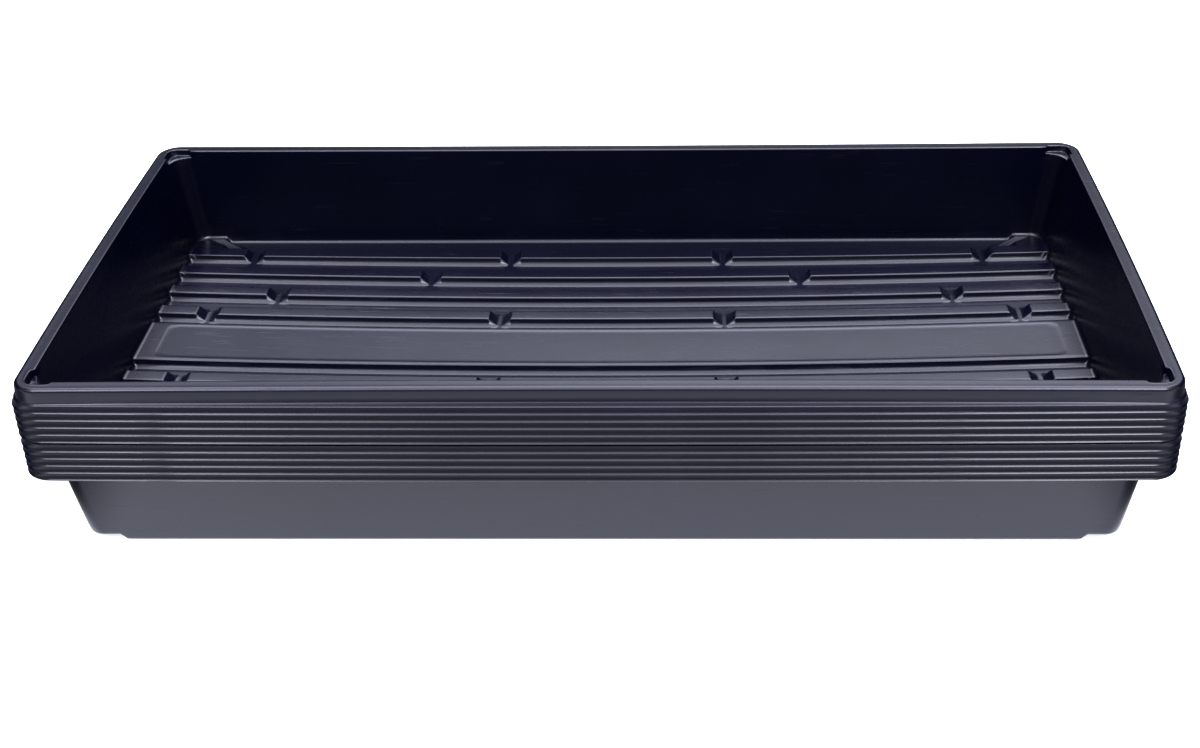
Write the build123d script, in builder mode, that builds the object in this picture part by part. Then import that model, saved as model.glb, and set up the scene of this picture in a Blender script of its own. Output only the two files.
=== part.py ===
"""A nested stack of ten thermoformed seed-starting trays, each one a single thin shell.

Frame: millimetres, +Z up. The origin is on the ground under the middle of the stack,
X runs along the trays and Y across them.

A tray has two skins. The lower skin is the upper one moved straight down by the sheet's
thickness and sideways by skin_step, so every shape below is made twice: once for the
upper skin (under=0) and once for the lower skin (under=1).
"""

from build123d import *
import os
from math import cos, radians, sin, tan

# ---- driving dimensions ----
TRAY_COUNT = 10
LEDGE_LENGTH = 535.0  # outer edge of the flat ledge, along X
LEDGE_WIDTH = 272.0  # outer edge of the flat ledge, along Y
LEDGE_RUN = 7.5  # from the opening of the well to the outer edge of the ledge
TRAY_HEIGHT = 57.7  # ground to the top of the ledge
SHEET = 0.28  # plastic thickness
END_LEAN = 9.4  # lean of the two short walls from vertical, degrees
SIDE_LEAN = 5.0  # lean of the two long walls
WELL_CORNER = 11.0  # radius of the four upright corners of the well

# ---- how the trays nest ----
NEST_PITCH = 3.95  # rise from one tray to the next
LOOSE_TRAY = 6  # this tray is the lowest of a second bundle, which sits a little looser
LOOSE_RISE = 1.3  # how much higher that bundle sits

# ---- rim below the ledge: skirt, sloping shoulder, lip ----
RIM_LEAN = 7.5  # lean of the skirt and the lip
LEDGE_CORNER = 12.0  # radius in plan of the ledge's outer corners
SKIRT_DROP = 6.3
SHOULDER_DROP = 0.9
SHOULDER_LEAN = 65.0
LIP_DROP = 3.4

# ---- floor ----
# The ridges and the platform run the whole length of the floor, into the short walls.
RIDGE_RISE = 4.7  # height of the ridges and of the platform above the floor
RIDGE_WIDTH = 8.7  # across the top of a ridge
RIDGE_LEAN = 15.0  # lean of the ridge sides from vertical, degrees
PLATFORM_WIDTH = 39.0  # across the top of the raised middle of the floor
NOTCH_WIDTH = 3.0  # a V notch across a ridge, measured at floor level
NOTCH_LEAN = 45.0

# How far each ridge lies from the middle, and the places along it of its V notches.
# The other half of the floor mirrors this one.
RIDGES = [
    (104.2, (-213, -62, 62, 213)),
    (81.6, (-106, 106)),
    (58.4, (-190, 190)),
    (35.0, (-224, -62, 62, 224)),
]

# ---- corners ----
PAD_SIZE = 19.0  # raised square in each corner of the floor
PAD_RISE = 3.2
POCKET_SIZE = 15.0  # shallow pocket in each corner of the opening
POCKET_CORNER = 5.0
POCKET_PAST_WALL = 2.0  # how far the pocket reaches past the walls, under the ledge
POCKET_DEPTH = 3.8

# ---- worked out from the above ----
OPENING_LENGTH = LEDGE_LENGTH - 2 * LEDGE_RUN
OPENING_WIDTH = LEDGE_WIDTH - 2 * LEDGE_RUN
WELL_DEPTH = TRAY_HEIGHT - SHEET
FLOOR_LENGTH = OPENING_LENGTH - 2 * WELL_DEPTH * tan(radians(END_LEAN))
FLOOR_WIDTH = OPENING_WIDTH - 2 * WELL_DEPTH * tan(radians(SIDE_LEAN))
PAST_WALL = 10.0  # how far shapes that run into the walls are carried past them


def skin_step(lean):
    """How far a face that leans from vertical moves sideways from one skin to the other."""
    return SHEET * (1 - sin(radians(lean))) / cos(radians(lean))


def rim_block(under):
    """Everything under one skin of the rim: skirt, shoulder and lip, each flaring outwards."""
    height = TRAY_HEIGHT - under * SHEET
    flare = -under * skin_step(RIM_LEAN)
    with BuildPart() as block:
        for drop, lean in (
            (SKIRT_DROP, RIM_LEAN),
            (SHOULDER_DROP, SHOULDER_LEAN),
            (LIP_DROP, RIM_LEAN),
        ):
            with BuildSketch(Plane.XY.offset(height)):
                RectangleRounded(
                    LEDGE_LENGTH + 2 * flare, LEDGE_WIDTH + 2 * flare, LEDGE_CORNER + flare
                )
            extrude(amount=-drop, taper=-lean)
            height -= drop
            flare += drop * tan(radians(lean))
    return block.part


def wall_section(opening, floor, lean, under):
    """Section across the well between two opposite walls, on one skin."""
    step = under * skin_step(lean)
    low = SHEET - under * SHEET
    high = low + WELL_DEPTH
    half_floor = floor / 2 + step
    half_opening = opening / 2 + step
    Polygon(
        (-half_floor, low),
        (half_floor, low),
        (half_opening, high),
        (-half_opening, high),
        align=None,
    )


def well_block(under):
    """Everything inside one skin of the well, with the pockets in the corners of its opening."""
    pocket_step = under * skin_step(RIM_LEAN)
    pocket = POCKET_SIZE + 2 * pocket_step
    with BuildPart() as block:
        with BuildSketch(Plane.XZ):
            wall_section(OPENING_LENGTH, FLOOR_LENGTH, END_LEAN, under)
        extrude(amount=OPENING_WIDTH, both=True)
        with BuildSketch(Plane.YZ):
            wall_section(OPENING_WIDTH, FLOOR_WIDTH, SIDE_LEAN, under)
        extrude(amount=OPENING_LENGTH, both=True, mode=Mode.INTERSECT)
        upright = block.edges().filter_by(lambda edge: (edge @ 1 - edge @ 0).Z ** 2 > 1)
        fillet(upright, WELL_CORNER + under * SHEET)
        with BuildSketch(Plane.XY.offset(TRAY_HEIGHT - under * SHEET)):
            with GridLocations(
                OPENING_LENGTH + 2 * POCKET_PAST_WALL - POCKET_SIZE,
                OPENING_WIDTH + 2 * POCKET_PAST_WALL - POCKET_SIZE,
                2,
                2,
            ):
                RectangleRounded(pocket, pocket, POCKET_CORNER + pocket_step)
        extrude(amount=-POCKET_DEPTH, taper=RIM_LEAN)
    return block.part


def ridges_block(under):
    """The ridges of one half of the floor and their V notches, then the other half."""
    step = under * skin_step(RIDGE_LEAN)
    foot = SHEET - under * SHEET
    notch_foot = NOTCH_WIDTH / 2 + under * skin_step(NOTCH_LEAN)
    notch_top = notch_foot + RIDGE_RISE * tan(radians(NOTCH_LEAN))
    with BuildPart() as block:
        with BuildSketch(Plane.XY.offset(foot + RIDGE_RISE)):
            with Locations([(0, middle) for middle, _ in RIDGES]):
                Rectangle(FLOOR_LENGTH + 2 * PAST_WALL, RIDGE_WIDTH - 2 * step)
        extrude(amount=-RIDGE_RISE, taper=-RIDGE_LEAN)
        for middle, notches in RIDGES:
            with BuildSketch(Plane.XZ.offset(-middle)):
                with Locations([(place, foot) for place in notches]):
                    Polygon(
                        (-notch_foot, 0),
                        (notch_foot, 0),
                        (notch_top, RIDGE_RISE),
                        (-notch_top, RIDGE_RISE),
                        align=None,
                    )
            extrude(amount=RIDGE_WIDTH, both=True, mode=Mode.SUBTRACT)
        mirror(about=Plane.XZ)
    return block.part


def platform_block(under):
    """The wide raised strip along the middle of the floor."""
    step = under * skin_step(RIDGE_LEAN)
    with BuildPart() as block:
        with BuildSketch(Plane.XY.offset(SHEET - under * SHEET + RIDGE_RISE)):
            Rectangle(FLOOR_LENGTH + 2 * PAST_WALL, PLATFORM_WIDTH - 2 * step)
        extrude(amount=-RIDGE_RISE, taper=-RIDGE_LEAN)
    return block.part


def pads_block(under):
    """The raised pads in the floor's corners."""
    step = under * skin_step(RIDGE_LEAN)
    size = PAD_SIZE + PAST_WALL - step
    with BuildPart() as block:
        with BuildSketch(Plane.XY.offset(SHEET - under * SHEET + PAD_RISE)):
            with GridLocations(
                FLOOR_LENGTH + 2 * PAST_WALL - size, FLOOR_WIDTH + 2 * PAST_WALL - size, 2, 2
            ):
                Rectangle(size, size)
        extrude(amount=-PAD_RISE, taper=-RIDGE_LEAN)
    return block.part


def tray_shell():
    """One tray, standing on the ground."""
    with BuildPart() as hollow:
        add(well_block(0))
        for raised in (ridges_block, platform_block, pads_block):
            add(raised(0), mode=Mode.SUBTRACT)
    with BuildPart() as shell:
        add(rim_block(0))
        add(rim_block(1), mode=Mode.SUBTRACT)
        add(well_block(1))
        add(hollow.part, mode=Mode.SUBTRACT)
        for raised in (ridges_block, platform_block, pads_block):
            add(raised(1), mode=Mode.SUBTRACT)
    return shell.part


def stack_height(number):
    """How far the underside of a tray in the stack is above the ground."""
    loose = LOOSE_RISE if number >= LOOSE_TRAY else 0.0
    return (number - 1) * NEST_PITCH + loose


os.makedirs("parts", exist_ok=True)
shell = tray_shell()
for number in range(1, TRAY_COUNT + 1):
    with BuildPart() as tray:
        with Locations((0, 0, stack_height(number))):
            add(shell)
    tray.part.label = f"tray_{number:02d}"
    export_step(tray.part, f"parts/{tray.part.label}.step")
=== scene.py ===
"""A nested stack of ten black seed trays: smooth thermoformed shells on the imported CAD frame."""

from math import cos, radians, sin, tan

import bpy
import numpy as np
from mathutils import Matrix, Vector


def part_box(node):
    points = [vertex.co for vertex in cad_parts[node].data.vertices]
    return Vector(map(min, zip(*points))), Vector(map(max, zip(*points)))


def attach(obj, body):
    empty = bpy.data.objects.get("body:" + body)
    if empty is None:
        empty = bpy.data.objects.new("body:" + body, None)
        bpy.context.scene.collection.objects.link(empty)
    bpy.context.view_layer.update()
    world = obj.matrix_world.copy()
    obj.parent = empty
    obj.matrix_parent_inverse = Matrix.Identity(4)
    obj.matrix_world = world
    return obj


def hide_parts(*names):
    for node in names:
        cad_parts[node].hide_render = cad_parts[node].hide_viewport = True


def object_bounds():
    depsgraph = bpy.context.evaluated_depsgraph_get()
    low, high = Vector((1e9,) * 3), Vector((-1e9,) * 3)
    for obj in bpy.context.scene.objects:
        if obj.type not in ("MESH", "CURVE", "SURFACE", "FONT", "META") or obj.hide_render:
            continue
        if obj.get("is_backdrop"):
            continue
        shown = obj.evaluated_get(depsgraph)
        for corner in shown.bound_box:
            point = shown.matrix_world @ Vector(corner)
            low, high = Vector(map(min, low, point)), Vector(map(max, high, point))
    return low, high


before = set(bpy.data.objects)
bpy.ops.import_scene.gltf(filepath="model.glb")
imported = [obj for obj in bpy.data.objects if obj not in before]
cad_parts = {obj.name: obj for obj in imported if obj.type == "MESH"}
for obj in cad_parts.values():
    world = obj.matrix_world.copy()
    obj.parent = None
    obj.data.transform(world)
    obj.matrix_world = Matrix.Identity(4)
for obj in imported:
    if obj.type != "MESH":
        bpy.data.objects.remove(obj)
cad_low, cad_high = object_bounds()

MM = 0.001

# ---- one tray, in millimetres, standing on z = 0 ----
HEIGHT = 57.7  # ground to the top of the ledge
SHEET = 0.28
WALL_LEANS = (9.4, 5.0)  # short walls and long walls, degrees from vertical
RIM_LEAN = 7.5  # skirt and lip
LEDGE_HALF = (267.5, 136.0)
LEDGE_CORNER = 12.0
LEDGE_RUN = 7.5
WELL_CORNER = 11.0  # at the ledge
FOOT_CORNER = 8.0  # at the floor
SKIRT_DROP = 7.2
SHOULDER_DROP = 0.5
SHOULDER_LEAN = 65.0
LIP_DROP = 3.4

RIDGE_RISE = 4.7
RIDGE_HALF_WIDTH = 4.35
RIDGE_LEAN = 15.0
RIDGES = [
    (104.2, (62, 213)),
    (81.6, (106,)),
    (58.4, (190,)),
    (35.0, (62, 224)),
]
PLATFORM_HALF_WIDTH = 19.5
PANEL_HALF = (241.5, 17.0)  # faint sunk panel in the platform
PANEL_CORNER = 6.0
PANEL_SINK = 0.22
PANEL_EDGE = 1.2  # width of the panel's soft edge
NOTCH_HALF_WIDTH = 1.5

PAD_SIZE = 16.0
PAD_LEAN = 45.0
PAD_RISE = 3.2
PAD_TOP_RADIUS = 1.0
PAD_FOOT_RADIUS = 1.5
PAD_BLEND = 0.3
POCKET_SIZE = 15.0
POCKET_CORNER = 5.0
POCKET_PAST_WALL = 2.0
POCKET_DEPTH = 3.8

# ---- radii of the formed sheet ----
RIDGE_TOP_RADIUS = 1.2
RIDGE_FOOT_RADIUS = 3.2
NOTCH_RADIUS = 2.2
NOTCH_BLEND = 1.2
WALL_FOOT_RADIUS = 2.2
LEDGE_INNER_RADIUS = 0.8
LEDGE_MIDDLE_CORNER = 9.0  # radius in plan of the line round the middle of the ledge
LEDGE_DIP = 0.08  # the ledge is this much lower along its middle
LEDGE_OUTER_RADIUS = 1.9
SKIRT_FOOT_RADIUS = 0.8
LIP_TOP_RADIUS = 0.6
LIP_LEAN = 0.22  # millimetres outwards for each millimetre down
FLARE = 0.85  # the cut edge of the lip turns out by this much more
LIP_CURVE = 3.6
CORNER_TUCK = 0.15  # share of the lip's reach that is missing at the corners

# ---- how the thin sheet has bent ----
SAG = 4.7  # the floor of a nested tray hangs this much lower in the middle
SECOND_TRAY_SAG = 2.8  # the second tray is held up by the flat bottom one
LEDGE_BOW = 1.2  # the long sides of the ledge bow inwards
LIP_BOW = 1.1  # the long sides of the lip spread outwards
END_BOW = 1.2  # the short sides of the rim bow outwards

# what step_profile and step_lines need: rise, lean, top radius and foot radius
RIDGE_STEP = (RIDGE_RISE, RIDGE_LEAN, RIDGE_TOP_RADIUS, RIDGE_FOOT_RADIUS)
PAD_STEP = (PAD_RISE, PAD_LEAN, PAD_TOP_RADIUS, PAD_FOOT_RADIUS)

WALL_SLOPES = tuple(tan(radians(lean)) for lean in WALL_LEANS)
WELL_DEPTH = HEIGHT - SHEET
OPENING_HALF = tuple(half - LEDGE_RUN for half in LEDGE_HALF)
FLOOR_HALF = tuple(half - WELL_DEPTH * slope for half, slope in zip(OPENING_HALF, WALL_SLOPES))
LEDGE_CENTRE = tuple(half - LEDGE_CORNER for half in LEDGE_HALF)
GRID_HALF = (246.6, 115.5)  # the gridded part of the floor ends just short of the walls

# ---- colours ----
COOL_LIGHT = (0.95, 0.965, 1.06, 1)  # what the plastic mirrors is a little blue
WARM_LIGHT = (1.0, 0.98, 0.86, 1)  # the foot of the backdrop is warmer
DARK_PLASTIC = (0.0003, 0.0009, 0.0090, 1)
PALE_PLASTIC = (0.0007, 0.0015, 0.0115, 1)
DUST_COLOUR = (0.03, 0.03, 0.03, 1)


# ---------------------------------------------------------------- profiles
def step_profile(d, rise, lean, top_radius, foot_radius):
    """Height of a raised shape at distance d outside its top edge, with both edges rounded."""
    a = radians(lean)
    reach = (1 - sin(a)) / cos(a)
    top_start = -top_radius * reach
    top_end = top_start + top_radius * cos(a)
    foot_end = rise * tan(a) + foot_radius * reach
    foot_start = foot_end - foot_radius * cos(a)
    over = np.clip(d - top_start, 0, top_radius * cos(a))
    rounded = rise - top_radius + np.sqrt(top_radius**2 - over**2)
    side = rise - d / tan(a)
    under = np.clip(foot_end - d, 0, foot_radius * cos(a))
    foot = foot_radius - np.sqrt(foot_radius**2 - under**2)
    return np.where(d < top_end, rounded, np.where(d < foot_start, side, foot))


def step_lines(rise, lean, top_radius, foot_radius):
    """Distances outside a top edge at which step_profile needs a grid line."""
    a = radians(lean)
    reach = (1 - sin(a)) / cos(a)
    turn = 90 - lean
    top_start = -top_radius * reach
    foot_end = rise * tan(a) + foot_radius * reach
    top = [top_start + top_radius * sin(radians(turn * t)) for t in (0, 0.33, 0.66, 1)]
    foot = [foot_end - foot_radius * sin(radians(turn * t)) for t in (1, 0.72, 0.45, 0.2, 0)]
    return top + foot


def notch_profile(e):
    """Height of a notch's 45 degree side at distance e outwards from where it meets the floor."""
    r = NOTCH_RADIUS
    t = r * tan(radians(22.5))
    s = r * sin(radians(45))
    foot = r - np.sqrt(r * r - np.clip(e + t, 0, s) ** 2)
    top = RIDGE_RISE - r + np.sqrt(r * r - np.clip(RIDGE_RISE + t - e, 0, s) ** 2)
    return np.where(e < s - t, foot, np.where(e < RIDGE_RISE + t - s, e, top))


def notch_lines():
    """Distances outwards at which notch_profile needs a grid line."""
    t = NOTCH_RADIUS * tan(radians(22.5))
    s = NOTCH_RADIUS * sin(radians(45))
    return (-t, (s - 2 * t) / 2, s - t, RIDGE_RISE + t - s, RIDGE_RISE + t - s / 2, RIDGE_RISE + t)


def soft_min(a, b, k):
    """The lower of two heights, blended over k millimetres where they are close."""
    h = np.clip(0.5 + 0.5 * (b - a) / k, 0, 1)
    return b + (a - b) * h - k * h * (1 - h)


def soft_max(a, b, k):
    return -soft_min(-a, -b, k)


def floor_height(x, y):
    """Height of the upper skin of the floor above its low strips."""
    ax, ay = np.abs(x), np.abs(y)
    height = step_profile(ay - PLATFORM_HALF_WIDTH, *RIDGE_STEP)
    for middle, notches in RIDGES:
        ridge = step_profile(np.abs(ay - middle) - RIDGE_HALF_WIDTH, *RIDGE_STEP)
        for place in notches:
            notch = notch_profile(np.abs(ax - place) - NOTCH_HALF_WIDTH)
            ridge = soft_min(ridge, notch, NOTCH_BLEND)
        height = np.maximum(height, ridge)
    pad = np.minimum(
        step_profile(FLOOR_HALF[0] - PAD_SIZE - ax, *PAD_STEP),
        step_profile(FLOOR_HALF[1] - PAD_SIZE - ay, *PAD_STEP),
    )
    height = soft_max(height, pad, PAD_BLEND)
    out_x = np.maximum(ax - PANEL_HALF[0] + PANEL_CORNER, 0)
    out_y = np.maximum(ay - PANEL_HALF[1] + PANEL_CORNER, 0)
    inside = np.clip((PANEL_CORNER - np.hypot(out_x, out_y)) / PANEL_EDGE, 0, 1)
    return height - PANEL_SINK * inside * inside * (3 - 2 * inside)


def sag_shape(x, y):
    """0 at the walls and 1 in the middle of the floor."""
    along = 1 - np.clip(np.abs(x) / FLOOR_HALF[0], 0, 1) ** 2
    across = 1 - np.clip(np.abs(y) / FLOOR_HALF[1], 0, 1) ** 4.8
    return along * across


# ---------------------------------------------------------------- floor grid
def spaced(lines, half, longest):
    """Sorted lines over -half..half, mirrored, none too close and no gap over longest."""
    both = sorted({round(v, 4) for line in lines for v in (line, -line)} | {-half, 0.0, half})
    kept = [-half]
    for value in both:
        if -half < value < half and value - kept[-1] > 0.14:
            kept.append(value)
    kept.append(half)
    full = []
    for start, end in zip(kept, kept[1:]):
        count = max(1, int(np.ceil((end - start) / longest)))
        full.extend(start + (end - start) * i / count for i in range(count))
    return np.array(full + [half])


def floor_grid():
    """Lines across X and across Y of the grid that the floor is made of."""
    ridge_lines = step_lines(*RIDGE_STEP)
    x_lines = []
    y_lines = [PLATFORM_HALF_WIDTH + d for d in ridge_lines]
    for middle, notches in RIDGES:
        for d in ridge_lines:
            y_lines += [middle + RIDGE_HALF_WIDTH + d, middle - RIDGE_HALF_WIDTH - d]
        for place in notches:
            for e in notch_lines():
                x_lines += [place + NOTCH_HALF_WIDTH + e, place - NOTCH_HALF_WIDTH - e]
    for d in step_lines(*PAD_STEP):
        x_lines.append(FLOOR_HALF[0] - PAD_SIZE - d)
    for d in (0.0, PANEL_EDGE / 2, PANEL_EDGE, 3.0, 5.0):
        x_lines.append(PANEL_HALF[0] - d)
        y_lines.append(PANEL_HALF[1] - d)
    return spaced(x_lines, GRID_HALF[0], 16.0), spaced(y_lines, GRID_HALF[1], 6.0)


# ---------------------------------------------------------------- walls and rim
CORNER_ANGLES = (0, 3.5, 6.6, 9, 12, 16, 20, 27, 34, 38, 42, 45)
PAD_COLUMNS = (1.5, 3, 4.5, 6, 7, 8, 9, 10, 11, 13, 16, 20)  # millimetres from the corner


def columns(long_side, short_side):
    """Round the tray, anticlockwise, from places between 0 (middle) and 1 (corner) on its sides.

    Every column is (sx, sy, px, py, angle): the corner it belongs to, how far along each
    straight side it is (1 at the corner), and the angle round the corner.
    """
    corner = list(CORNER_ANGLES) + [90 - a for a in CORNER_ANGLES[-2::-1]]
    made = []
    for sx, sy, flip in ((1, 1, False), (-1, 1, True), (-1, -1, False), (1, -1, True)):
        # the short side runs up to the corner, then the corner, then the long side
        quarter = [(sx, sy, 1.0, p, 0.0) for p in sorted(short_side)]
        quarter += [(sx, sy, 1.0, 1.0, float(a)) for a in corner]
        quarter += [(sx, sy, p, 1.0, 90.0) for p in sorted(long_side, reverse=True)]
        if flip:
            quarter = quarter[::-1]
        made += quarter[:-1]  # the last one is the next quarter's first
    return np.array(made)


def fine_columns():
    """Columns for the foot of the walls, which follows the ridges and pads of the floor."""
    _, y_lines = floor_grid()
    centre = well_centre(SHEET)
    pads = [1 - d / centre[0] for d in PAD_COLUMNS]
    short_side = [y / centre[1] for y in y_lines if 0 <= y < centre[1] - 0.3]
    return columns(pads + list(np.linspace(0, 0.9, 19)), short_side)


def plain_columns():
    """Columns for the walls and the rim."""
    return columns(list(np.linspace(0, 0.98, 20)), list(np.linspace(0, 0.95, 9)))


def corner_radius(z):
    """The well's upright corners are tighter towards the floor."""
    return FOOT_CORNER + (WELL_CORNER - FOOT_CORNER) * (z - SHEET) / WELL_DEPTH


def well_centre(z):
    """Middle of the corner arc of the well at a height."""
    return tuple(
        half + (z - SHEET) * slope - corner_radius(z)
        for half, slope in zip(FLOOR_HALF, WALL_SLOPES)
    )


def outline(cols, centre, radius):
    """Points of a rounded rectangle: centre is the middle of its corner arc. Radius may vary."""
    angle = np.radians(cols[:, 4])
    x = centre[0] * cols[:, 2] + radius * np.cos(angle)
    y = centre[1] * cols[:, 3] + radius * np.sin(angle)
    return np.stack([x * cols[:, 0], y * cols[:, 1]], 1)


def pocket_reach(cols):
    """How far the corner pocket reaches past the wall at each column, at ledge height."""
    far = POCKET_PAST_WALL + WELL_CORNER
    near = far - POCKET_SIZE
    reach = np.zeros(len(cols))
    for i, angle in enumerate(cols[:, 4]):
        if angle in (0.0, 90.0):
            continue
        a = radians(min(angle, 90 - angle))
        best = WELL_CORNER
        for r in np.arange(WELL_CORNER, 1.7 * WELL_CORNER, 0.02):
            x, y = r * cos(a), r * sin(a)
            qx = abs(x - (far + near) / 2) - POCKET_SIZE / 2 + POCKET_CORNER
            qy = abs(y - (far + near) / 2) - POCKET_SIZE / 2 + POCKET_CORNER
            if np.hypot(max(qx, 0), max(qy, 0)) <= POCKET_CORNER:
                best = r
        reach[i] = best - WELL_CORNER
    return reach


def mid_ledge_radius(cols):
    """Distance from the well's corner centre to a line round the middle of the ledge."""
    angle = np.radians(cols[:, 4])
    out = LEDGE_RUN / 2 + WELL_CORNER
    k = out - LEDGE_MIDDLE_CORNER
    along = k * (np.cos(angle) + np.sin(angle))
    on_arc = along + np.sqrt(np.maximum(along**2 - 2 * k * k + LEDGE_MIDDLE_CORNER**2, 0))
    on_side = out / np.maximum(np.cos(angle), np.sin(angle))
    side_ends = np.minimum(np.cos(angle), np.sin(angle)) * on_side <= k
    return np.where(side_ends, on_side, on_arc)


def arc(cx, cz, r, start, end, count):
    """Points of an arc in a section through the rim, angles in degrees from outwards."""
    return [
        (cx + r * cos(radians(a)), cz + r * sin(radians(a))) for a in np.linspace(start, end, count)
    ]


def rim_section():
    """The rim from the outer rounding of the ledge to the cut edge: (outwards of the ledge, z)."""
    shoulder = radians(SHOULDER_LEAN)
    top = radians(RIM_LEAN)
    reach = (1 - sin(top)) / cos(top)
    r = LEDGE_OUTER_RADIUS
    points = arc(-r * reach, HEIGHT - LEDGE_DIP / 2 - r, r, 90, RIM_LEAN, 6)
    turn = tan((shoulder - top) / 2)
    foot = Vector((SKIRT_DROP * tan(top), HEIGHT - SKIRT_DROP))
    skirt_way = Vector((sin(top), -cos(top)))
    shoulder_way = Vector((sin(shoulder), -cos(shoulder)))
    edge = foot + shoulder_way * (SHOULDER_DROP / cos(shoulder))
    # concave fillet at the skirt's foot
    points.append(tuple(Vector(points[-1]).lerp(foot, 0.5)))
    r = SKIRT_FOOT_RADIUS
    centre = foot - skirt_way * r * turn + Vector((cos(top), sin(top))) * r
    points += arc(centre.x, centre.y, r, 180 + RIM_LEAN, 180 + SHOULDER_LEAN, 5)
    # convex rounding from the shoulder to the lip
    r = LIP_TOP_RADIUS
    centre = edge - shoulder_way * r * turn - Vector((cos(shoulder), sin(shoulder))) * r
    points += arc(centre.x, centre.y, r, SHOULDER_LEAN, RIM_LEAN, 5)
    # the lip curves outwards more and more towards its cut edge
    start = Vector(points[-1])
    drop = start.y - (edge.y - LIP_DROP)
    for share in (0.25, 0.5, 0.68, 0.8, 0.9, 0.96, 1.0):
        out = LIP_LEAN * drop * share + FLARE * share**LIP_CURVE
        points.append((start.x + out, start.y - drop * share))
    return points


def level_ring(cols, centre, radius, z):
    """A ring of points round the tray. The height may be one value or one for each column."""
    return np.column_stack([outline(cols, centre, radius), np.broadcast_to(z, len(cols))])


def foot_rows(cols):
    """Rings from the edge of the floor, round the foot of the walls, to just above the ridges."""
    angle = np.radians(cols[:, 4])
    lean = np.radians(WALL_LEANS[0] * np.cos(angle) ** 2 + WALL_LEANS[1] * np.sin(angle) ** 2)
    reach = WALL_FOOT_RADIUS * (1 - np.sin(lean)) / np.cos(lean)
    at_foot = outline(cols, well_centre(SHEET), FOOT_CORNER - reach)
    base = floor_height(at_foot[:, 0], at_foot[:, 1])
    centre = well_centre(SHEET)
    start = FOOT_CORNER + base * np.tan(lean) - reach
    ring = [level_ring(cols, centre, start - 0.3, SHEET + base)]
    for share in np.linspace(0, 1, 6):
        phi = -radians(90) + share * (radians(90) - lean)
        out = start + WALL_FOOT_RADIUS * np.cos(phi)
        rise = WALL_FOOT_RADIUS * (1 + np.sin(phi))
        ring.append(level_ring(cols, centre, out, SHEET + base + rise))
    top = SHEET + RIDGE_RISE + WALL_FOOT_RADIUS + 0.8
    ring.append(level_ring(cols, well_centre(top), corner_radius(top), top))
    return ring


def wall_rows(cols):
    """Rings up the wall, over the ledge and down to the cut edge."""
    shelf = HEIGHT - POCKET_DEPTH
    ring = [
        level_ring(cols, well_centre(z), corner_radius(z), z)
        for z in (SHEET + RIDGE_RISE + WALL_FOOT_RADIUS + 2.0, 22.0, 36.0, 47.0, shelf - 0.6)
    ]

    # the corner pockets: a shelf out to the pocket's wall, then up to the ledge
    reach_out = pocket_reach(cols)
    is_pocket = np.clip(reach_out / 0.6, 0, 1)

    def pocket_ring(out, z):
        # z differs from column to column, so every column is taken from its own level
        middle = np.array([well_centre(each) for each in z])
        angle = np.radians(cols[:, 4])
        radius = corner_radius(z) + out
        x = (middle[:, 0] * cols[:, 2] + radius * np.cos(angle)) * cols[:, 0]
        y = (middle[:, 1] * cols[:, 3] + radius * np.sin(angle)) * cols[:, 1]
        ring.append(np.column_stack([x, y, z]))

    pocket_ring(0.25 * is_pocket, shelf - 0.15 * is_pocket)
    for share, lift in ((0.5, 0.0), (0.85, 0.12), (1.0, 0.6)):
        z = shelf + (0.3 + 0.5 * share) * (1 - is_pocket) + lift * is_pocket
        pocket_ring(reach_out * share, z)
    lean = radians(RIM_LEAN)
    t = LEDGE_INNER_RADIUS * (1 - sin(lean)) / cos(lean)
    top = well_centre(HEIGHT)
    full = WELL_CORNER + reach_out
    for out, z in arc(t, HEIGHT - LEDGE_INNER_RADIUS, LEDGE_INNER_RADIUS, 180 - RIM_LEAN, 90, 5):
        ring.append(level_ring(cols, top, full + out, z))

    # across the ledge: straight out past the pockets, then over to the rim's own corner centres
    section = rim_section()
    inner = outline(cols, top, full + t)
    middle = outline(cols, top, mid_ledge_radius(cols))
    outer = outline(cols, LEDGE_CENTRE, LEDGE_CORNER + section[0][0])
    for start, end, share, fall in (
        (inner, middle, 0.3, 0.2),
        (inner, middle, 1.0, 1.0),
        (middle, outer, 0.6, 0.9),
    ):
        level = np.full(len(cols), HEIGHT - LEDGE_DIP * fall)
        ring.append(np.column_stack([start + (end - start) * share, level]))
    tuck = 1 - CORNER_TUCK * (cols[:, 2] * cols[:, 3]) ** 6
    for out, z in section:
        reach = np.where(out > 0, out * tuck, out)
        ring.append(level_ring(cols, LEDGE_CENTRE, LEDGE_CORNER + reach, z))
    return ring


def bowed(points):
    """Bows the rim: long ledges inwards, long lips and short sides outwards."""
    x, y, z = points.T
    along = np.clip(1 - (x / LEDGE_CENTRE[0]) ** 2, 0, 1)
    near_top = np.clip((z - 20.0) / 26.0, 0, 1) ** 2
    past_ledge = np.clip((np.abs(y) - LEDGE_HALF[1] + 1.0) / 1.5, 0, 1)
    on_lip = np.clip((HEIGHT - z - SKIRT_DROP + 0.4) / (SHOULDER_DROP + 0.4), 0, 1)
    shift = -LEDGE_BOW * near_top + past_ledge * on_lip * (LEDGE_BOW * near_top + LIP_BOW)
    on_side = np.abs(y) > FLOOR_HALF[1] - 3
    across = np.clip(1 - (y / LEDGE_CENTRE[1]) ** 2, 0, 1)
    end_shift = np.where(np.abs(x) > FLOOR_HALF[0] - 3, END_BOW * near_top * across, 0)
    y = y + np.where(on_side, shift * along * np.sign(y), 0)
    return np.column_stack([x + end_shift * np.sign(x), y, z])


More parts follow.
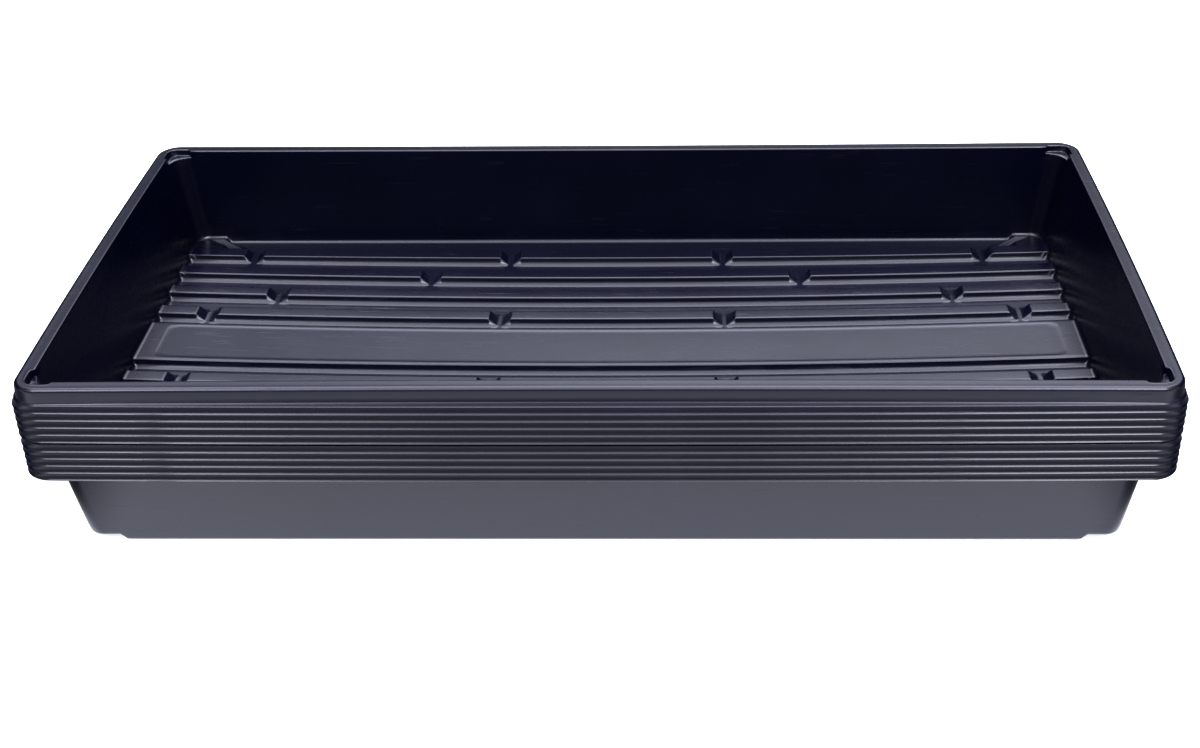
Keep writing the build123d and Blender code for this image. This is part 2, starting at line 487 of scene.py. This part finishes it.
# ---------------------------------------------------------------- mesh
def stitched(inner, inner_at, outer, outer_at):
    """Triangles between two closed loops, both given as vertex numbers with their angles."""
    faces = []
    i = j = 0
    while i < len(inner) or j < len(outer):
        next_i = inner_at[i + 1] if i < len(inner) else np.inf
        next_j = outer_at[j + 1] if j < len(outer) else np.inf
        a, b = inner[i % len(inner)], outer[j % len(outer)]
        if next_i <= next_j:
            faces.append((a, b, inner[(i + 1) % len(inner)]))
            i += 1
        else:
            faces.append((a, b, outer[(j + 1) % len(outer)]))
            j += 1
    return faces


def loop_place(points):
    """How far round the tray each point of a loop is, 0 to 8, two for each side from +X."""
    place = []
    for x, y in points:
        over_x, over_y = x / FLOOR_HALF[0], y / FLOOR_HALF[1]
        if abs(over_x) >= abs(over_y):
            place.append(over_y / over_x if x > 0 else 4 + over_y / over_x)
        else:
            place.append(2 - over_x / over_y if y > 0 else 6 - over_x / over_y)
    return np.array(place)


def shell_mesh(name, sag):
    """The upper skin of one tray: the floor's grid, then rings up the walls and over the rim."""
    xs, ys = floor_grid()
    gx, gy = np.meshgrid(xs, ys, indexing="ij")
    nx, ny = len(xs), len(ys)
    floor = np.column_stack([gx.ravel(), gy.ravel(), (SHEET + floor_height(gx, gy)).ravel()])
    index = np.arange(nx * ny).reshape(nx, ny)
    quads = np.stack(
        [index[:-1, :-1], index[1:, :-1], index[1:, 1:], index[:-1, 1:]], -1
    ).reshape(-1, 4)
    faces = [tuple(q) for q in quads.tolist()]

    points = [floor]
    first = nx * ny

    def add_rings(cols, rings):
        """Adds rings of points and the quads between them, and returns the first ring's start."""
        nonlocal first
        start, n = first, len(cols)
        for low in range(start, start + (len(rings) - 1) * n, n):
            for c in range(n):
                d = (c + 1) % n
                faces.append((low + c, low + n + c, low + n + d, low + d))
        points.extend(rings)
        first += len(rings) * n
        return start

    def join(inner, outer):
        """Triangles between two closed loops of (numbers, places round the tray)."""
        loops = []
        for numbers, xy in (inner, outer):
            place = loop_place(xy)
            order = np.argsort(place, kind="stable")
            loops.append([int(numbers[i]) for i in order])
            loops.append(list(place[order]) + [place[order[0]] + 8])
        faces.extend(stitched(*loops))

    fine, plain = fine_columns(), plain_columns()
    feet, walls = foot_rows(fine), wall_rows(plain)
    feet_start = add_rings(fine, feet)
    walls_start = add_rings(plain, walls)
    boundary = [*index[-1, :-1], *index[:0:-1, -1], *index[0, :0:-1], *index[:-1, 0]]
    join((boundary, floor[boundary, :2]), (feet_start + np.arange(len(fine)), feet[0][:, :2]))
    last_foot = feet_start + (len(feet) - 1) * len(fine) + np.arange(len(fine))
    join((last_foot, feet[-1][:, :2]), (walls_start + np.arange(len(plain)), walls[0][:, :2]))

    points = bowed(np.vstack(points))
    lowered = np.clip(1 - (points[:, 2] - 6) / 40, 0, 1)
    points[:, 2] -= sag * sag_shape(points[:, 0], points[:, 1]) * lowered
    mesh = bpy.data.meshes.new(name)
    mesh.from_pydata((points * MM).tolist(), [], faces)
    mesh.polygons.foreach_set("use_smooth", [True] * len(mesh.polygons))
    mesh.update()
    return mesh


# ---------------------------------------------------------------- materials
def nodes_of(holder):
    """The emptied node tree of a material or world, as its nodes and its links."""
    holder.use_nodes = True
    tree = holder.node_tree
    tree.nodes.clear()
    return tree.nodes, tree.links


def ramp(nodes, links, source, start, end, low, high):
    """A smooth step of a value from low to high."""
    step = nodes.new("ShaderNodeMapRange")
    step.interpolation_type = "SMOOTHSTEP"
    step.inputs["From Min"].default_value = start
    step.inputs["From Max"].default_value = end
    step.inputs["To Min"].default_value = low
    step.inputs["To Max"].default_value = high
    links.new(source, step.inputs["Value"])
    return step.outputs["Result"]


def combine(nodes, links, operation, a, b):
    """Two values added, multiplied or compared."""
    node = nodes.new("ShaderNodeMath")
    node.operation = operation
    links.new(a, node.inputs[0])
    links.new(b, node.inputs[1])
    return node.outputs["Value"]


def mixed_colour(nodes, links, factor, low_colour, high_colour):
    """A colour between two fixed ones or two sockets, by a factor from 0 to 1."""
    mix = nodes.new("ShaderNodeMix")
    mix.data_type = "RGBA"
    links.new(factor, mix.inputs["Factor"])
    for number, colour in ((6, low_colour), (7, high_colour)):  # its two colour inputs
        if isinstance(colour, tuple):
            mix.inputs[number].default_value = colour
        else:
            links.new(colour, mix.inputs[number])
    return mix.outputs[2]  # its colour output


def size_of(nodes, links, value):
    """A value without its sign."""
    node = nodes.new("ShaderNodeMath")
    node.operation = "ABSOLUTE"
    links.new(value, node.inputs[0])
    return node.outputs["Value"]


def noise(nodes, links, place, scale, detail):
    """Fractal noise over a place, from 0 to 1."""
    texture = nodes.new("ShaderNodeTexNoise")
    texture.inputs["Scale"].default_value = scale
    texture.inputs["Detail"].default_value = detail
    links.new(place, texture.inputs["Vector"])
    return texture.outputs["Fac"]


def tray_plastic():
    """Black polystyrene sheet: glossy, faintly uneven, with thin scuffs and a little dust."""
    material = bpy.data.materials.new("black_tray_plastic")
    nodes, links = nodes_of(material)
    out = nodes.new("ShaderNodeOutputMaterial")
    shader = nodes.new("ShaderNodeBsdfPrincipled")
    links.new(shader.outputs["BSDF"], out.inputs["Surface"])
    shader.inputs["IOR"].default_value = 1.5
    place = nodes.new("ShaderNodeTexCoord").outputs["Object"]

    # the gloss is uneven in patches
    mottle = noise(nodes, links, place, 22.0, 4.0)
    rough = nodes.new("ShaderNodeMapRange")
    rough.inputs["To Min"].default_value = 0.21
    rough.inputs["To Max"].default_value = 0.3
    links.new(mottle, rough.inputs["Value"])

    # thin scuffs along the tray: fine noise stretched to twelve times its length
    stretched = nodes.new("ShaderNodeMapping")
    stretched.inputs["Scale"].default_value = (1 / 12, 1, 1)
    links.new(place, stretched.inputs["Vector"])
    streaks = noise(nodes, links, stretched.outputs["Vector"], 420.0, 3.0)
    scuffs = ramp(nodes, links, streaks, 0.62, 0.72, 0.0, 0.12)
    worn = combine(nodes, links, "ADD", rough.outputs["Result"], scuffs)
    links.new(worn, shader.inputs["Roughness"])

    colour = nodes.new("ShaderNodeValToRGB")
    colour.color_ramp.elements[0].color = DARK_PLASTIC
    colour.color_ramp.elements[1].color = PALE_PLASTIC
    colour.color_ramp.elements[0].position = 0.35
    colour.color_ramp.elements[1].position = 0.75
    links.new(mottle, colour.inputs["Fac"])

    # specks of dust lie on the faces that point up
    specks = ramp(nodes, links, noise(nodes, links, place, 1500.0, 1.0), 0.7, 0.78, 0.0, 1.0)
    facing = nodes.new("ShaderNodeNewGeometry")
    normal = nodes.new("ShaderNodeSeparateXYZ")
    links.new(facing.outputs["Normal"], normal.inputs["Vector"])
    level = ramp(nodes, links, normal.outputs["Z"], 0.8, 1.0, 0.0, 0.5)
    dusty = combine(nodes, links, "MULTIPLY", specks, level)
    dusty = mixed_colour(nodes, links, dusty, colour.outputs["Color"], DUST_COLOUR)
    links.new(dusty, shader.inputs["Base Color"])

    # faint ripples of the formed sheet
    ripple = noise(nodes, links, place, 90.0, 2.0)
    bump = nodes.new("ShaderNodeBump")
    bump.inputs["Strength"].default_value = 0.12
    bump.inputs["Distance"].default_value = 0.0003
    links.new(ripple, bump.inputs["Height"])
    links.new(bump.outputs["Normal"], shader.inputs["Normal"])
    return material


# ---------------------------------------------------------------- trays
plastic = tray_plastic()
for number in range(1, 11):
    node = f"tray_{number:02d}"
    low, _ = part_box(node)
    sag = {1: 0.0, 2: SECOND_TRAY_SAG}.get(number, SAG)
    tray = bpy.data.objects.new(node + "_shell", shell_mesh(node + "_shell", sag))
    bpy.context.scene.collection.objects.link(tray)
    tray.location.z = low.z
    tray.data.materials.append(plastic)
    sheet = tray.modifiers.new("sheet", "SOLIDIFY")
    sheet.thickness = SHEET * MM
    sheet.offset = -1.0
    flats = tray.modifiers.new("flats", "WEIGHTED_NORMAL")
    flats.keep_sharp = False
    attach(tray, node)
    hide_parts(node)


# ---------------------------------------------------------------- floor
def pale_floor():
    """White table. The plastic mirrors it dimmer far away and past its ends, and darker under the
    stack, where a painted shadow stands in for the stack's own.
    """
    material = bpy.data.materials.new("pale_floor")
    nodes, links = nodes_of(material)
    out = nodes.new("ShaderNodeOutputMaterial")
    rays = nodes.new("ShaderNodeLightPath")

    # what the camera sees and what lights the matt share of the trays
    matt = nodes.new("ShaderNodeBsdfDiffuse")
    matt.inputs["Color"].default_value = (0.42, 0.42, 0.4, 1)
    glow = nodes.new("ShaderNodeEmission")
    glow.inputs["Strength"].default_value = 0.78
    seen = nodes.new("ShaderNodeAddShader")
    links.new(matt.outputs["BSDF"], seen.inputs[0])
    links.new(glow.outputs["Emission"], seen.inputs[1])

    # what the gloss of the trays mirrors
    where = nodes.new("ShaderNodeNewGeometry")
    split = nodes.new("ShaderNodeSeparateXYZ")
    links.new(where.outputs["Position"], split.inputs["Vector"])
    x, y = split.outputs["X"], split.outputs["Y"]
    off_x, off_y = size_of(nodes, links, x), size_of(nodes, links, y)
    near = ramp(nodes, links, y, -0.9, -0.17, 0.9, 3.9)
    # painted shadow: the mirrored table is darkened under the stack's footprint, where the stack
    # would shade it
    past_end = ramp(nodes, links, off_x, 0.2445, 0.2525, 0.0, 1.0)
    past_side = ramp(nodes, links, off_y, 0.1175, 0.1255, 0.0, 1.0)
    clear = combine(nodes, links, "MAXIMUM", past_end, past_side)
    lit = ramp(nodes, links, clear, 0.0, 1.0, 0.45, 1.0)
    between_ends = ramp(nodes, links, off_x, 0.235, 0.29, 1.0, 0.08)
    in_front = ramp(nodes, links, y, -0.32, -0.2, 1.0, 0.0)
    ends = combine(nodes, links, "MAXIMUM", between_ends, in_front)
    lit = combine(nodes, links, "MULTIPLY", lit, ends)
    mirrored = nodes.new("ShaderNodeEmission")
    mirrored.inputs["Color"].default_value = COOL_LIGHT
    links.new(combine(nodes, links, "MULTIPLY", near, lit), mirrored.inputs["Strength"])

    mix = nodes.new("ShaderNodeMixShader")
    links.new(rays.outputs["Is Glossy Ray"], mix.inputs["Fac"])
    links.new(seen.outputs["Shader"], mix.inputs[1])
    links.new(mirrored.outputs["Emission"], mix.inputs[2])
    links.new(mix.outputs["Shader"], out.inputs["Surface"])
    return material


floor_mesh = bpy.data.meshes.new("floor")
floor_mesh.from_pydata([(-6, -6, 0), (6, -6, 0), (6, 6, 0), (-6, 6, 0)], [], [(0, 1, 2, 3)])
floor = bpy.data.objects.new("floor", floor_mesh)
floor.location.z = cad_low.z - 0.0002
floor.data.materials.append(pale_floor())
bpy.context.scene.collection.objects.link(floor)
floor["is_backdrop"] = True


# ---------------------------------------------------------------- light
def studio():
    """A white wall behind, a large soft light above and a dim room on the camera's side.

    Every strength depends on the direction that a ray leaves in: x, y and z are its parts.
    """
    world = bpy.data.worlds.new("studio")
    bpy.context.scene.world = world
    nodes, links = nodes_of(world)
    out = nodes.new("ShaderNodeOutputWorld")
    rays = nodes.new("ShaderNodeLightPath")
    where = nodes.new("ShaderNodeTexCoord")
    split = nodes.new("ShaderNodeSeparateXYZ")
    links.new(where.outputs["Generated"], split.inputs["Vector"])
    x, y, z = (split.outputs[axis] for axis in "XYZ")

    # the light above, with a brighter lamp at either side of the camera
    above = ramp(nodes, links, z, 0.52, 0.65, 0.0, 6.0)
    right_side = ramp(nodes, links, x, 0.12, 0.24, 0.0, 1.0)
    left_side = ramp(nodes, links, x, -0.22, -0.34, 0.0, 1.0)
    to_sides = combine(nodes, links, "MAXIMUM", left_side, right_side)
    to_sides = ramp(nodes, links, to_sides, 0.0, 1.0, -0.45, 2.4)
    in_front = ramp(nodes, links, y, -0.45, -0.15, 1.0, 0.0)
    lamps = combine(nodes, links, "MULTIPLY", to_sides, in_front)
    above = combine(nodes, links, "ADD", above, combine(nodes, links, "MULTIPLY", above, lamps))

    # the wall behind, which is dimmer towards the left
    backdrop = ramp(nodes, links, z, 0.385, 0.42, 0.0, 1.85)
    behind = ramp(nodes, links, y, -0.1, 0.3, 0.0, 1.0)
    left = ramp(nodes, links, x, -0.26, -0.05, 0.36, 0.95)
    far_left = ramp(nodes, links, x, -0.34, -0.28, 0.3, 0.0)
    left = combine(nodes, links, "ADD", left, far_left)
    wall = combine(nodes, links, "MULTIPLY", backdrop, behind)
    wall = combine(nodes, links, "MULTIPLY", wall, left)

    # both fade out past the ends, and the dim room fills in on the camera's side
    ends = ramp(nodes, links, size_of(nodes, links, x), 0.37, 0.45, 1.0, 0.12)
    strength = combine(nodes, links, "ADD", wall, above)
    strength = combine(nodes, links, "MULTIPLY", strength, ends)
    dim_room = ramp(nodes, links, y, -0.3, 0.1, 1.0, 0.0)
    strength = combine(nodes, links, "ADD", strength, dim_room)
    upwards = ramp(nodes, links, z, 0.4, 0.5, 0.0, 1.0)
    room = nodes.new("ShaderNodeBackground")
    links.new(mixed_colour(nodes, links, upwards, WARM_LIGHT, COOL_LIGHT), room.inputs["Color"])
    links.new(strength, room.inputs["Strength"])

    white = nodes.new("ShaderNodeBackground")
    white.inputs["Color"].default_value = (1, 1, 1, 1)
    mix = nodes.new("ShaderNodeMixShader")
    links.new(rays.outputs["Is Camera Ray"], mix.inputs["Fac"])
    links.new(room.outputs["Background"], mix.inputs[1])
    links.new(white.outputs["Background"], mix.inputs[2])
    links.new(mix.outputs["Shader"], out.inputs["Surface"])


studio()
# darks are pulled down hard, for a strong contrast against the white room
bpy.context.scene.view_settings.view_transform = "Standard"
bpy.context.scene.view_settings.gamma = 0.75


# ---------------------------------------------------------------- camera
CAMERA_PLACE = Vector((0.0446, -0.7923, 0.5030))
CAMERA_PITCH, CAMERA_YAW, CAMERA_ROLL = 31.78, 1.58, -0.93
pitch, yaw, roll = radians(CAMERA_PITCH), radians(CAMERA_YAW), radians(CAMERA_ROLL)
right = Vector((cos(yaw), sin(yaw), 0))
ahead = Vector((-sin(yaw) * cos(pitch), cos(yaw) * cos(pitch), -sin(pitch)))
up = right.cross(ahead)
turned_right = right * cos(roll) + up * sin(roll)
turned_up = up * cos(roll) - right * sin(roll)
camera = bpy.data.objects.new("camera", bpy.data.cameras.new("camera"))
camera.matrix_world = Matrix.Translation(CAMERA_PLACE) @ Matrix(
    (turned_right, turned_up, -ahead)
).transposed().to_4x4()
camera.data.sensor_width = 36.0
camera.data.lens = 51.5
camera.data.shift_x = -0.0438
camera.data.shift_y = 0.0100
camera.data.clip_start = 0.01
bpy.context.scene.collection.objects.link(camera)
bpy.context.scene.camera = camera

low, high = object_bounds()
